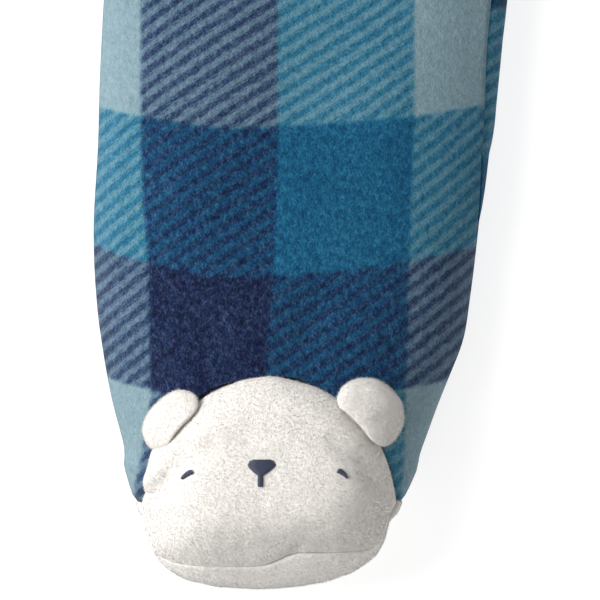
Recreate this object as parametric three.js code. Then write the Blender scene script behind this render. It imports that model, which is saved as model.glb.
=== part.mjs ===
// A toddler's footed fleece onesie, laid out on its back with its arms down and out, in millimetres.
// +X is to the viewer's right, +Y towards the neck, +Z up from the surface that it lies on.
// Every panel is a thin wall of cloth. The wearer's left half (+X) is worked out and mirrored for the right.
// While it is worked out, Y runs from the crotch; the group is shifted at the end to centre its box.
import * as THREE from "three";

// Cloth and seams
const fleece = 2.4;
const plush = 3;
const seamGap = 0.3;

// The level at which each front and each back is parted, so that its two walls stay simple.
const hipY = 20;

// Body and sleeve, from a size 2T block
const crotch = { x: 0.15, y: 0 };
const underarm = { x: 151, y: 292 };
const shoulderTip = { x: 130, y: 404 };
const neckPoint = { x: 70, y: 425 };
const frontNeckY = 375;
const backNeckY = 412;
const armholeBow = 7;
const sleeveLoft = 17;
const sleeveEdge = 7;
const sleeveRound = 32;
const upperSleeve = [shoulderTip, { x: 169, y: 373 }, { x: 246, y: 284 }, { x: 321, y: 192 }];
const lowerSleeve = [underarm, { x: 174, y: 262 }, { x: 217, y: 208 }, { x: 267, y: 144 }];

// Neck binding and zip
const bindingWidth = 14;
const bindingWall = 2.6;
const zipHalfGap = 4;
const zipEndY = 50;
const zipSeamY = 36;
const tapeHalf = 12;
const tapeWall = 1;
const coilHalf = 2.9;
const coilHeight = 2.3;
const slider = { y: 378.5, long: 13, wide: 9, high: 3.2 };
const bridge = { long: 8, wide: 1.8, high: 3.4, hole: 2.2, roof: 1.1 };
const pull = { bar: 1.4, wide: 6, arm: 1.3, eye: 5.4, long: 27, thick: 1.4, droop: 5 };

// Foot, seen from above
const head = { x: 112, y: -336, wide: 46.8, tall: 47.2 };
const face = { inset: 0.975, square: 6, lowOuter: 22.8, lowInner: 17.2, bulge: 8, toeBulge: 3, edge: 12 };
const faceCorner = 0.05;
const heel = { top: -262, power: 2 };
const toe = { y: -342.4, deep: 25.9, power: 2.45, lean: 4 };
const soleCentre = { x: 112, y: -322 };
const faceCentre = { x: 112, y: -326 };
const ears = [
  { name: "outer", x: 144.2, y: -308, toX: 0.72, toY: 0.694, half: 14.2, reach: 14.6, thick: 6 },
  { name: "inner", x: 78.8, y: -305.4, toX: -0.714, toY: 0.7, half: 14.2, reach: 17, thick: 6.5 },
];
const ear = { power: 2.3, rim: 1.6, root: 4, gap: 0.4, base: 0.5 };

// One row for each section, from the underarm to the toe. outer and inner are the outline, measured from the
// centre line; loft is the height of the top, edge that of the outline; round and under are the widths over
// which the top and the underside round off; wrap is how much back cloth shows inside the inner edge.
const sections = [
  { y: 292, outer: 151, inner: 0.15, loft: 24, edge: 8, round: 50, under: 14, wrap: 0 },
  { y: 180, outer: 148, inner: 0.15, loft: 24, edge: 8, round: 54, under: 14, wrap: 0 },
  { y: 70, outer: 157, inner: 0.15, loft: 25, edge: 8.5, round: 56, under: 14, wrap: 0 },
  { y: 0, outer: 166, inner: 0.15, loft: 28, edge: 9, round: 56, under: 14, wrap: 0 },
  { y: -70, outer: 171.5, inner: 11.4, loft: 31, edge: 9.5, round: 56, under: 14, wrap: 5 },
  { y: -150, outer: 174.2, inner: 24, loft: 34, edge: 10, round: 56, under: 15, wrap: 7.3 },
  { y: -202, outer: 176.5, inner: 28.8, loft: 36, edge: 10.5, round: 56, under: 15, wrap: 4.4 },
  { y: -226, outer: 177.9, inner: 31.4, loft: 37, edge: 11, round: 55, under: 15, wrap: 2.6 },
  { y: -244, outer: 177.8, inner: 35, loft: 38.5, edge: 11, round: 54, under: 15, wrap: 0 },
  { y: -262, outer: 177.2, inner: 37.4, loft: 40, edge: 11.5, round: 53, under: 15, wrap: 0 },
  { y: -276, outer: 175, inner: 39.7, loft: 41.5, edge: 12, round: 50, under: 15, wrap: 0 },
  { y: -291, outer: 172.4, inner: 45.8, loft: 43, edge: 13, round: 45, under: 16, wrap: 0 },
  { y: -306, outer: 169, inner: 51.8, loft: 45, edge: 14, round: 39, under: 17, wrap: 0 },
  { y: -320, outer: 165.3, inner: 56.6, loft: 46, edge: 15, round: 34, under: 18, wrap: 0 },
  { y: -331, outer: 162.2, inner: 60.8, loft: 46.5, edge: 16, round: 31, under: 19, wrap: 0 },
  { y: -342.4, outer: 157.9, inner: 67.7, loft: 46.5, edge: 18, round: 29, under: 20, wrap: 0 },
  { y: -368.3, outer: 150, inner: 80, loft: 44, edge: 20, round: 27, under: 21, wrap: 0 },
];

// The largest folds: soft troughs from one point to another.
const folds = [
  { x0: 101, y0: -288, x1: 86, y1: -252, wide: 7, deep: 1.8 },
  { x0: 134, y0: -292, x1: 139, y1: -262, wide: 6, deep: 1.4 },
  { x0: 8, y0: -8, x1: 88, y1: -46, wide: 10, deep: 2.6 },
  { x0: 12, y0: 14, x1: 92, y1: 44, wide: 10, deep: 2.2 },
  { x0: 142, y0: 282, x1: 84, y1: 236, wide: 10, deep: 2.2 },
  { x0: 40, y0: 150, x1: 136, y1: 172, wide: 12, deep: 1.8 },
  { x0: 170, y0: 284, x1: 214, y1: 270, wide: 9, deep: 2 },
  { x0: 200, y0: 240, x1: 252, y1: 236, wide: 9, deep: 1.8 },
  { x0: 60, y0: -132, x1: 128, y1: -118, wide: 12, deep: 1.8 },
];

// Counts of rows and columns. Panels that meet at a seam share its stations.
const frontColumns = 12;
const neckColumns = 7;
const upperRows = 8;
const footRows = 7;
const hipStations = [hipY + seamGap / 2, hipY - seamGap / 2];
const torsoStations = [250, 206, 162, 124, 92, 66, 50, 36, ...hipStations, 8, 0];
const legStations = [-10, -30, -62, -96, -130, -164, -198, -216, -230, -244, -254];
const backColumns = 10;
const backNeckColumns = 6;
const backUpperRows = 6;
const heelRows = 6;
const backTorsoStations = [292, 236, 180, 130, 92, 66, 40, ...hipStations, 8, 0];
const toeColumns = 18;

const mix = (a, b, t) => a + (b - a) * t;
const clamp01 = (t) => Math.min(1, Math.max(0, t));
const smooth = (t) => clamp01(t) ** 2 * (3 - 2 * clamp01(t));
const range = (n) => Array.from({ length: n }, (_, i) => i);
const vec = (x, y, z) => new THREE.Vector3(x, y, z);

// A smooth value from a table whose rows run down in y.
function valueAt(rows, key, y) {
  const last = rows.length - 1;
  if (y >= rows[0].y) return rows[0][key];
  if (y <= rows[last].y) return rows[last][key];
  const i = rows.findIndex((row, k) => k < last && y <= row.y && y >= rows[k + 1].y);
  const slope = (k) => (rows[k + 1][key] - rows[k][key]) / (rows[k + 1].y - rows[k].y);
  const tangent = (k) => (slope(Math.max(k - 1, 0)) + slope(Math.min(k, last - 1))) / 2;
  const h = rows[i + 1].y - rows[i].y;
  const t = (y - rows[i].y) / h;
  return (
    rows[i][key] * (2 * t ** 3 - 3 * t ** 2 + 1) +
    rows[i + 1][key] * (3 * t ** 2 - 2 * t ** 3) +
    tangent(i) * h * (t ** 3 - 2 * t ** 2 + t) +
    tangent(i + 1) * h * (t ** 3 - t ** 2)
  );
}

const section = (key, y) => valueAt(sections, key, y);

// Points taken at given shares of a line's length.
function resample(line, shares) {
  const lengths = [0];
  for (let i = 1; i < line.length; i++) lengths.push(lengths[i - 1] + line[i].distanceTo(line[i - 1]));
  const total = lengths[lengths.length - 1];
  return shares.map((share) => {
    const target = share * total;
    let i = 1;
    while (i < line.length - 1 && lengths[i] < target) i++;
    const t = clamp01((target - lengths[i - 1]) / (lengths[i] - lengths[i - 1]));
    return line[i - 1].clone().lerp(line[i], t);
  });
}

// A point on a smooth open curve through a few plan points, t from 0 to 1.
function onCurve(points, t) {
  const curve = new THREE.CatmullRomCurve3(points.map((p) => vec(p.x, p.y, 0)), false, "centripetal");
  return curve.getPoint(clamp01(t));
}

// The toe end of the foot's outline: angle 0 is its outer side and half a turn its inner side.
function toeOutline(angle) {
  const middle = (section("outer", toe.y) + section("inner", toe.y)) / 2;
  const half = (section("outer", toe.y) - section("inner", toe.y)) / 2;
  const across = Math.sign(Math.cos(angle)) * Math.abs(Math.cos(angle)) ** (2 / toe.power);
  const down = Math.sin(angle) ** (2 / toe.power);
  return { x: middle + half * across + toe.lean * down ** 2, y: toe.y - toe.deep * down };
}

// The closed edge of the laid garment: shoulder and upper sleeve, lower sleeve, side, toe and inner leg.
function closedEdges() {
  const shoulder = [neckPoint, ...range(101).map((i) => onCurve(upperSleeve, i / 100))];
  const down = range(101).map((i) => onCurve(lowerSleeve, 1 - i / 100));
  const side = range(320).map((i) => mix(underarm.y, toe.y, i / 319));
  const outer = side.map((y) => ({ x: section("outer", y), y }));
  const tip = range(81).map((i) => toeOutline((Math.PI * i) / 80));
  const back = range(180).map((i) => mix(toe.y, crotch.y, i / 179));
  const inner = back.map((y) => ({ x: section("inner", y), y }));
  return [shoulder, [...down, ...outer, ...tip, ...inner]];
}

const edges = closedEdges();

function nearestOnLine(line, x, y) {
  let best = { d: Infinity, x: 0, y: 0 };
  for (let i = 0; i + 1 < line.length; i++) {
    const a = line[i];
    const b = line[i + 1];
    const dx = b.x - a.x;
    const dy = b.y - a.y;
    const t = clamp01(((x - a.x) * dx + (y - a.y) * dy) / Math.max(dx * dx + dy * dy, 1e-9));
    const d = Math.hypot(a.x + dx * t - x, a.y + dy * t - y);
    if (d < best.d) best = { d, x: a.x + dx * t, y: a.y + dy * t };
  }
  return best;
}

const edgeDistance = (x, y) => Math.min(...edges.map((line) => nearestOnLine(line, x, y).d));

// The loft, edge height and rounding at a place; along is 0 on the body and runs to 1 at the sleeve's end.
function clothAt(y, along) {
  const t = smooth(along);
  return {
    loft: mix(section("loft", y), sleeveLoft, t),
    edge: mix(section("edge", y), sleeveEdge, t),
    round: mix(section("round", y), sleeveRound, t),
    under: section("under", y),
  };
}

const quarter = (t) => Math.sqrt(1 - (1 - clamp01(t)) ** 2);

function foldDepth(x, y) {
  return folds.reduce((sum, f) => {
    const dx = f.x1 - f.x0;
    const dy = f.y1 - f.y0;
    const long = Math.hypot(dx, dy);
    const t = ((x - f.x0) * dx + (y - f.y0) * dy) / long ** 2;
    const off = ((x - f.x0) * dy - (y - f.y0) * dx) / long;
    return sum + f.deep * Math.exp(-((off / f.wide) ** 2)) * smooth(t * 4) * smooth((1 - t) * 2);
  }, 0);
}

// Heights of the outer faces of the laid cloth.
function topHeight(x, y, along = 0) {
  const d = edgeDistance(x, y);
  const c = clothAt(y, along);
  return c.edge + (c.loft - c.edge) * quarter(d / c.round) - foldDepth(x, y) * smooth(d / 20);
}

function underHeight(x, y, along = 0) {
  const c = clothAt(y, along);
  const t = edgeDistance(x, y) / c.under;
  return t >= 1 ? 0 : c.edge * (1 - quarter(t));
}

// The seam round the face of the foot: a round head above, and below it the toe's outline, which is cut
// across at the toe, lower on its outer side. Angle 0 is its outer side, a quarter turn its crown.
const toeLine = [
  { x: section("outer", head.y), y: head.y },
  ...range(121).map((i) => toeOutline((Math.PI * i) / 120)),
  { x: section("inner", head.y), y: head.y },
].map((p) => {
  const low = mix(face.lowInner, face.lowOuter, smooth((p.x - 103) / 11));
  const deep = head.y - p.y;
  const cut = deep / (1 + (deep / low) ** face.square) ** (1 / face.square);
  return vec(head.x + (p.x - head.x) * face.inset, head.y - cut, 0);
});

function faceEdge(angle) {
  const turn = angle % (2 * Math.PI);
  if (turn <= Math.PI) {
    return { x: head.x + head.wide * Math.cos(turn), y: head.y + head.tall * Math.sin(turn) };
  }
  const [p] = resample(toeLine, [(2 * Math.PI - turn) / Math.PI]);
  return { x: p.x, y: p.y };
}

const headAngles = range(frontColumns - 1).map((i) =>
  mix(faceCorner, Math.PI - faceCorner, i / (frontColumns - 2)),
);
const toeAngles = range(toeColumns + 1).map((i) => Math.PI * (1 + i / toeColumns));
const faceLine = [...range(240), 0].map((i) => faceEdge((2 * Math.PI * i) / 240));

// A point moved away from a centre by the width of a seam.
function acrossSeam(p, centre, width = seamGap) {
  const out = vec(p.x - centre.x, p.y - centre.y, 0).setLength(width);
  return { x: p.x + out.x, y: p.y + out.y };
}

function faceHeight(x, y) {
  const t = clamp01(nearestOnLine(faceLine, x, y).d / face.edge);
  const toeShare = smooth((head.y + 2 - y) / 22);
  return topHeight(x, y) + mix(face.bulge, face.toeBulge, toeShare) * t * (2 - t);
}

// The upward normal of a height function, by small differences.
function normalOf(height, x, y, up = 1) {
  const e = 0.4;
  const dx = (height(x + e, y) - height(x - e, y)) / (2 * e);
  const dy = (height(x, y + e) - height(x, y - e)) / (2 * e);
  return vec(-dx * up, -dy * up, up).normalize();
}

// A grid point: where it is on the outer face of the cloth, and the normal there if it is already known.
const pin = (x, y, z, normal = null) => ({ p: vec(x, y, z), n: normal });

function topPin(x, y, along = 0) {
  return pin(x, y, topHeight(x, y, along), normalOf((a, b) => topHeight(a, b, along), x, y));
}

function underPin(x, y, along = 0) {
  return pin(x, y, underHeight(x, y, along), normalOf((a, b) => underHeight(a, b, along), x, y, -1));
}

// A point on the closed edge, just above or below its seam, facing straight outwards from a point inside.
function edgePin(x, y, inside, side, along = 0) {
  const outwards = vec(x - inside.x, y - inside.y, 0).normalize();
  return pin(x, y, clothAt(y, along).edge + (side * seamGap) / 2, outwards);
}

// Triangles of a closed mesh, turned to face outwards.
function geometryOf(points, triangles) {
  const volume = triangles.reduce((sum, [a, b, c]) => {
    return sum + points[a].dot(points[b].clone().cross(points[c]));
  }, 0);
  const turned = volume < 0 ? triangles.map(([a, b, c]) => [a, c, b]) : triangles;
  const g = new THREE.BufferGeometry();
  g.setAttribute("position", new THREE.Float32BufferAttribute(points.flatMap((p) => p.toArray()), 3));
  g.setIndex(turned.flat());
  return g;
}

// Normals of a grid where they aren't given, from its neighbours, facing the way that outwards says.
function gridNormals(grid, outwards, ring) {
  const rows = grid.length;
  const cols = grid[0].length;
  const at = (r, c) => grid[r][ring ? (c + cols) % cols : Math.min(cols - 1, Math.max(0, c))].p;
  return grid.map((row, r) =>
    row.map((point, c) => {
      if (point.n) return point.n;
      const along = at(Math.min(r + 1, rows - 1), c).clone().sub(at(Math.max(r - 1, 0), c));
      const across = at(r, c + 1).clone().sub(at(r, c - 1));
      const n = along.cross(across).normalize();
      return n.dot(outwards(point.p)) < 0 ? n.negate() : n;
    }),
  );
}

// A wall of cloth behind a grid of points. ring joins the last column to the first; cap closes row one,
// which is then a single point, as at the middle of a disc.
function wall(grid, thick, { outwards = () => vec(0, 0, 1), ring = false, cap = false } = {}) {
  const normals = gridNormals(grid, outwards, ring);
  const cols = grid[0].length;
  const points = [];
  const index = { outer: [], inner: [] };
  for (const side of ["outer", "inner"]) {
    grid.forEach((row, r) => {
      index[side].push(
        row.map((point, c) => {
          if (cap && r === 0 && c > 0) return index[side].length ? index[side][0][0] : points.length - 1;
          const shift = side === "inner" ? -thick : 0;
          points.push(point.p.clone().addScaledVector(normals[r][c], shift));
          return points.length - 1;
        }),
      );
    });
  }
  const triangles = [];
  const quad = (a, b, c, d) => {
    const fits = (t) => new Set(t).size === 3 && triangles.push(t);
    fits([a, b, c]);
    fits([a, c, d]);
  };
  const spans = range(ring ? cols : cols - 1);
  for (let r = 0; r + 1 < grid.length; r++) {
    for (const c of spans) {
      const e = (c + 1) % cols;
      const o = index.outer;
      const i = index.inner;
      quad(o[r][c], o[r][e], o[r + 1][e], o[r + 1][c]);
      quad(i[r][c], i[r + 1][c], i[r + 1][e], i[r][e]);
    }
  }
  const rim = (pairs) => {
    for (let k = 0; k + 1 < pairs.length; k++) {
      const [o0, i0] = pairs[k];
      const [o1, i1] = pairs[k + 1];
      quad(o0, i0, i1, o1);
    }
  };
  const both = (r, c) => [index.outer[r][c], index.inner[r][c]];
  const lastRow = grid.length - 1;
  const around = [...range(cols), ...(ring ? [0] : [])];
  if (!cap) rim(around.map((c) => both(0, c)));
  rim(around.map((c) => both(lastRow, c)).reverse());
  if (!ring) {
    rim(range(grid.length).map((r) => both(r, 0)).reverse());
    rim(range(grid.length).map((r) => both(r, cols - 1)));
  }
  return geometryOf(points, triangles);
}

// Where the front and back halves meet at the centre, for a station y above the crotch.
function centreX(y) {
  return mix(zipHalfGap, crotch.x, smooth((zipEndY - y) / (zipEndY - zipSeamY)));
}

function armhole(v) {
  const bow = armholeBow * 4 * v * (1 - v);
  return { x: mix(underarm.x, shoulderTip.x, v) - bow, y: mix(underarm.y, shoulderTip.y, v) - bow * 0.19 };
}

// A point inside four boundary curves, each given as a function of its own share from 0 to 1.
function patch(low, high, left, right, u, v) {
  const blend = (key) =>
    mix(low(u)[key], high(u)[key], v) +
    mix(left(v)[key], right(v)[key], u) -
    mix(mix(low(0)[key], low(1)[key], u), mix(high(0)[key], high(1)[key], u), v);
  return { x: blend("x"), y: blend("y") };
}

// How far across a panel a column lies: crowded at the outer edge, and at the inner edge too on a leg.
function columnShare(u, legShare) {
  const body = Math.sin((Math.PI * u) / 2);
  const leg = (1 - Math.cos(Math.PI * u)) / 2;
  return mix(mix(u, body, 0.75), mix(u, leg, 0.75), legShare);
}

const legShareAt = (y) => smooth((70 - y) / 70);
const wrapLeast = 0.5;
const crotchNormal = vec(-1, -1, 0).normalize();

// The neckline in plan, from the centre to the neck point, for the front or the back.
function neckline(t, centreY, startX) {
  const x = mix(startX, neckPoint.x, t);
  return { x, y: mix(centreY, neckPoint.y, ((x - startX) / (neckPoint.x - startX)) ** 2.2) };
}

function topBoundary(u, necks, centreY, startX) {
  if (u <= necks) return neckline(Math.sin((Math.PI * u) / (2 * necks)), centreY, startX);
  const t = (u - necks) / (1 - necks);
  return { x: mix(neckPoint.x, shoulderTip.x, t), y: mix(neckPoint.y, shoulderTip.y, t) };
}

// A front: from the neck and shoulder, down the torso, over the leg and round the head of the foot's face.
function frontGrid() {
  const necks = neckColumns / frontColumns;
  const grid = [];
  for (let r = 0; r < upperRows; r++) {
    const v = (1 + Math.cos((Math.PI * r) / upperRows)) / 2;
    grid.push(
      range(frontColumns + 1).map((c) => {
        const u = c / frontColumns;
        const low = (t) => ({ x: mix(zipHalfGap, underarm.x, columnShare(t, 0)), y: underarm.y });
        const high = (t) => topBoundary(t, necks, frontNeckY, zipHalfGap);
        const left = (t) => ({ x: zipHalfGap, y: mix(underarm.y, frontNeckY, t) });
        const q = patch(low, high, left, armhole, u, v);
        const onShoulder = r === 0 && u >= necks;
        if (onShoulder) return edgePin(q.x, q.y, { x: q.x - 3, y: q.y - 10 }, 1);
        return topPin(q.x, q.y);
      }),
    );
  }
  for (const y of [underarm.y, ...torsoStations, ...legStations]) {
    const wrapped = section("wrap", y) > wrapLeast;
    const inset = wrapped ? section("wrap", y) + seamGap / 2 : 0;
    const start = y > 0 ? centreX(y) : section("inner", y) + inset;
    grid.push(
      range(frontColumns + 1).map((c) => {
        const x = mix(start, section("outer", y), columnShare(c / frontColumns, legShareAt(y)));
        if (c === 0 && y === 0) return pin(x, y, section("edge", y) + seamGap / 2, crotchNormal);
        if (c === 0 && y < 0 && !wrapped) return edgePin(x, y, { x: x + 9, y }, 1);
        if (c === frontColumns) return edgePin(x, y, { x: x - 9, y }, 1);
        return topPin(x, y);
      }),
    );
  }
  const footTopY = legStations[legStations.length - 1];
  const low = (t) => ({
    x: mix(section("inner", footTopY), section("outer", footTopY), columnShare(t, 1)),
    y: footTopY,
  });
  const high = (t) => {
    if (t <= 0) return { x: section("inner", head.y), y: head.y };
    if (t >= 1) return { x: section("outer", head.y), y: head.y };
    const angle = headAngles[frontColumns - 1 - Math.round(t * frontColumns)];
    return acrossSeam(faceEdge(angle), head);
  };
  const sideLine = (key) => (t) => {
    const y = mix(footTopY, head.y, t);
    return { x: section(key, y), y };
  };
  for (let r = 1; r <= footRows; r++) {
    grid.push(
      range(frontColumns + 1).map((c) => {
        const q = patch(low, high, sideLine("inner"), sideLine("outer"), c / frontColumns, r / footRows);
        if (c === 0) return edgePin(q.x, q.y, { x: q.x + 9, y: q.y + 2 }, 1);
        if (c === frontColumns) return edgePin(q.x, q.y, { x: q.x - 9, y: q.y + 2 }, 1);
        return topPin(q.x, q.y);
      }),
    );
  }
  return grid;
}

// Shares of a back row: three steps round the inner edge, four across and three round the outer edge.
function backShares(innerRound, outerRound, length) {
  const i = innerRound / length;
  const o = outerRound / length;
  const across = range(5).map((k) => mix(i, 1 - o, k / 4));
  return [0, i / 3, (2 * i) / 3, ...across, 1 - (2 * o) / 3, 1 - o / 3, 1];
}

// One level row of a back: from the inner seam, round the inner edge, under, and up to the outer edge.
function backRow(y) {
  const body = y >= 0;
  const inner = body ? crotch.x : section("inner", y);
  const outer = section("outer", y);
  const wrap = section("wrap", y);
  const wrapped = wrap > wrapLeast;
  const low = section("edge", y) - seamGap / 2;
  const line = [];
  for (let k = 0; wrapped && k < 24; k++) {
    const d = (wrap - seamGap / 2) * (1 - k / 24) ** 2;
    line.push(vec(inner + d, y, topHeight(inner + d, y)));
  }
  if (wrapped) line.push(vec(inner, y, section("edge", y)));
  else line.push(vec(inner, y, y > 0 ? underHeight(inner, y) : low));
  for (let k = 1; k < 80; k++) {
    const x = mix(inner, outer, (1 - Math.cos((Math.PI * k) / 80)) / 2);
    line.push(vec(x, y, underHeight(x, y)));
  }
  line.push(vec(outer, y, low));
  const length = line.reduce((sum, p, i) => sum + (i ? p.distanceTo(line[i - 1]) : 0), 0);
  const bend = section("under", y) * 1.3;
  const row = resample(line, backShares(mix(40, bend + wrap * 1.3, legShareAt(y)), bend, length));
  const seamNormal = (p) => {
    if (wrapped) return normalOf(topHeight, p.x, p.y);
    if (y === 0) return crotchNormal;
    return body ? normalOf(underHeight, p.x, p.y, -1) : vec(-1, 0, 0);
  };
  return row.map((p, c) => {
    if (c === backColumns) return { p, n: vec(1, 0, 0) };
    return { p, n: c === 0 ? seamNormal(p) : null };
  });
}

function heelEdge(angle) {
  const innerX = section("inner", head.y);
  const outerX = section("outer", head.y);
  return {
    x: mix(innerX, outerX, (1 + Math.cos(angle)) / 2),
    y: mix(head.y, heel.top, Math.max(Math.sin(angle), 0) ** (2 / heel.power)),
  };
}

// A back: flat on the surface, rounding up to its edges, with a scoop below for the heel of the sole.
function backGrid() {
  const necks = backNeckColumns / backColumns;
  const grid = [];
  const bottomRow = backRow(underarm.y).map((g) => g.p);
  for (let r = 0; r < backUpperRows; r++) {
    const v = (1 + Math.cos((Math.PI * r) / backUpperRows)) / 2;
    grid.push(
      range(backColumns + 1).map((c) => {
        const u = c / backColumns;
        const low = (t) => bottomRow[Math.round(t * backColumns)];
        const high = (t) => topBoundary(t, necks, backNeckY, crotch.x);
        const left = (t) => ({ x: crotch.x, y: mix(underarm.y, backNeckY, t) });
        const q = patch(low, high, left, armhole, u, v);
        if (r === 0 && u >= necks) return edgePin(q.x, q.y, { x: q.x - 3, y: q.y - 10 }, -1);
        return underPin(q.x, q.y);
      }),
    );
  }
  for (const y of [...backTorsoStations, ...legStations]) grid.push(backRow(y));
  const heelTopY = legStations[legStations.length - 1];
  const topRow = grid[grid.length - 1].map((g) => g.p);
  const low = (t) => topRow[Math.round(t * backColumns)];
  const high = (t) => {
    const e = heelEdge(mix(Math.PI, 0, t));
    return t <= 0 || t >= 1 ? e : acrossSeam(e, soleCentre, 2 * seamGap);
  };
  const sideLine = (key) => (t) => {
    const y = mix(heelTopY, head.y, t);
    return { x: section(key, y), y };
  };
  for (let r = 1; r <= heelRows; r++) {
    grid.push(
      range(backColumns + 1).map((c) => {
        const q = patch(low, high, sideLine("inner"), sideLine("outer"), c / backColumns, r / heelRows);
        if (c === 0) return edgePin(q.x, q.y, { x: q.x + 9, y: q.y + 2 }, -1);
        if (c === backColumns) return edgePin(q.x, q.y, { x: q.x - 9, y: q.y + 2 }, -1);
        return underPin(q.x, q.y);
      }),
    );
  }
  return grid;
}

// The rows of a front or back above the hip, and those below it.
function partedAtHip(grid) {
  const first = grid.findIndex((row) => row[1].p.y < hipY);
  return [grid.slice(0, first), grid.slice(first)];
}

// A sleeve: a flattened tube from the armhole to its open end.
function sleeveGrid() {
  const rows = 10;
  const over = upperRows;
  const under = backUpperRows;
  const cuffLow = lowerSleeve[3];
  const cuffTop = upperSleeve[3];
  const gap = { x: seamGap * 0.98, y: seamGap * 0.19 };
  const start = (v) => ({ x: armhole(v).x + gap.x, y: armhole(v).y + gap.y });
  const end = (v) => ({ x: mix(cuffLow.x, cuffTop.x, v), y: mix(cuffLow.y, cuffTop.y, v) });
  const lowEdge = (s) => (s === 0 ? start(0) : onCurve(lowerSleeve, s));
  const highEdge = (s) => (s === 0 ? start(1) : onCurve(upperSleeve, s));
  const place = (s, v) => patch(start, end, lowEdge, highEdge, v, s);
  const share = (k, n) => (1 - Math.cos((Math.PI * k) / n)) / 2;
  return range(rows + 1).map((r) => {
    const s = r / rows;
    const ring = [];
    for (let k = 0; k <= over; k++) {
      const q = place(s, share(k, over));
      const inside = place(s, k ? 0.9 : 0.1);
      ring.push(k === 0 || k === over ? edgePin(q.x, q.y, inside, 0, s) : topPin(q.x, q.y, s));
    }
    for (let k = under - 1; k > 0; k--) {
      const q = place(s, share(k, under));
      ring.push(underPin(q.x, q.y, s));
    }
    return ring;
  });
}

// The face of the foot: a dome of plush inside the face's seam.
function faceGrid() {
  const shares = [0, 0.3, 0.55, 0.74, 0.87, 0.95, 1];
  const angles = [...headAngles, ...toeAngles];
  return shares.map((share) =>
    angles.map((angle) => {
      const e = faceEdge(angle);
      const x = mix(faceCentre.x, e.x, share);
      const y = mix(faceCentre.y, e.y, share);
      return pin(x, y, faceHeight(x, y), normalOf(faceHeight, x, y));
    }),
  );
}

// The sole: flat under the heel and ball, turned up over the toe to the face's lower seam.
function soleGrid() {
  const shares = [0, 0.2, 0.38, 0.52, 0.62, 0.72, 0.81, 0.9, 1];
  const overToe = toeAngles.map((angle) => ({ ...acrossSeam(faceEdge(angle), head), over: true }));
  const heelEnds = range(backColumns + 1).map((k) => heelEdge((Math.PI * k) / backColumns));
  for (const end of [heelEnds[0], heelEnds[backColumns]]) {
    end.corner = true;
    end.y -= 2.5 * seamGap;
  }
  const ends = [...heelEnds, ...overToe].reverse();
  const rays = ends.map((end) => {
    const rim = end.over ? nearestOnLine(edges[1], end.x, end.y) : end;
    const steps = 40;
    const line = [];
    for (let k = 0; k < steps; k++) {
      const t = 1 - (1 - k / steps) ** 2;
      const x = mix(soleCentre.x, rim.x, t);
      const y = mix(soleCentre.y, rim.y, t);
      line.push(vec(x, y, underHeight(x, y)));
    }
    const edge = section("edge", rim.y);
    if (end.corner) line.push(vec(rim.x, rim.y, edge - 2 * seamGap));
    else line.push(vec(rim.x, rim.y, end.over ? edge : underHeight(rim.x, rim.y)));
    if (end.over) {
      for (let k = 1; k <= steps; k++) {
        const t = (k / steps) ** 2;
        const x = mix(rim.x, end.x, t);
        const y = mix(rim.y, end.y, t);
        line.push(vec(x, y, topHeight(x, y)));
      }
    }
    const pins = resample(line, shares).map((p) => ({ p, n: null }));
    const last = pins[pins.length - 1];
    if (end.corner) last.n = vec(Math.sign(last.p.x - soleCentre.x), 0, 0);
    else last.n = end.over ? normalOf(topHeight, end.x, end.y) : normalOf(underHeight, end.x, end.y, -1);
    return pins;
  });
  rays.forEach((pins) => (pins[0].n = vec(0, 0, -1)));
  return shares.map((_, r) => rays.map((pins) => pins[r]));
}

// An ear: a soft pad that lies on the leg, with its root along the head's seam.
function earGeometry(shape) {
  const around = 22;
  const away = vec(shape.toX, shape.toY, 0).normalize();
  const beside = vec(-away.y, away.x, 0);
  const root = vec(shape.x, shape.y, 0);
  const middle = root.clone().addScaledVector(away, shape.reach * 0.45);
  const inHead = (q) => ((q.x - head.x) / head.wide) ** 2 + ((q.y - head.y) / head.tall) ** 2 < 1;
  const inEar = (q) => {
    const from = q.clone().sub(root);
    const up = Math.max(0, from.dot(away)) / shape.reach;
    return (Math.abs(from.dot(beside)) / shape.half) ** ear.power + up ** ear.power < 1;
  };
  const reach = range(around).map((k) => {
    const angle = (2 * Math.PI * k) / around;
    const out = vec(Math.cos(angle), Math.sin(angle), 0);
    let r = 0.5;
    const free = (t) => {
      const q = middle.clone().addScaledVector(out, t);
      return inEar(q) && !inHead(q.addScaledVector(away, -ear.gap));
    };
    while (free(r)) r += 0.05;
    const rim = mix(ear.rim, ear.root, smooth(-out.dot(away) * 1.6));
    return { out, r, rim };
  });
  const points = [];
  const layer = (share, heightOf) => {
    const first = points.length;
    for (const spoke of share ? reach : [reach[0]]) {
      const q = middle.clone().addScaledVector(spoke.out, spoke.r * share);
      const lift = heightOf(share ? spoke.rim : ear.rim, share);
      points.push(vec(q.x, q.y, topHeight(q.x, q.y) + ear.base + lift));
    }
    return first;
  };
  const crown = (rim, share) => rim + (shape.thick - rim) * Math.sqrt(1 - share ** 2);
  const rings = [
    ...[0, 0.45, 0.75, 0.93, 1].map((share) => layer(share, crown)),
    ...[0.93, 0.6, 0].map((share) => layer(share, () => 0)),
  ];
  const last = rings.length - 1;
  const triangles = [];
  for (const k of range(around)) {
    const e = (k + 1) % around;
    triangles.push([rings[0], rings[1] + k, rings[1] + e]);
    triangles.push([rings[last], rings[last - 1] + e, rings[last - 1] + k]);
    for (let r = 1; r + 1 < last; r++) {
      const [a, b] = [rings[r], rings[r + 1]];
      triangles.push([a + k, b + k, b + e], [a + k, b + e, a + e]);
    }
  }
  return geometryOf(points, triangles);
}

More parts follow.
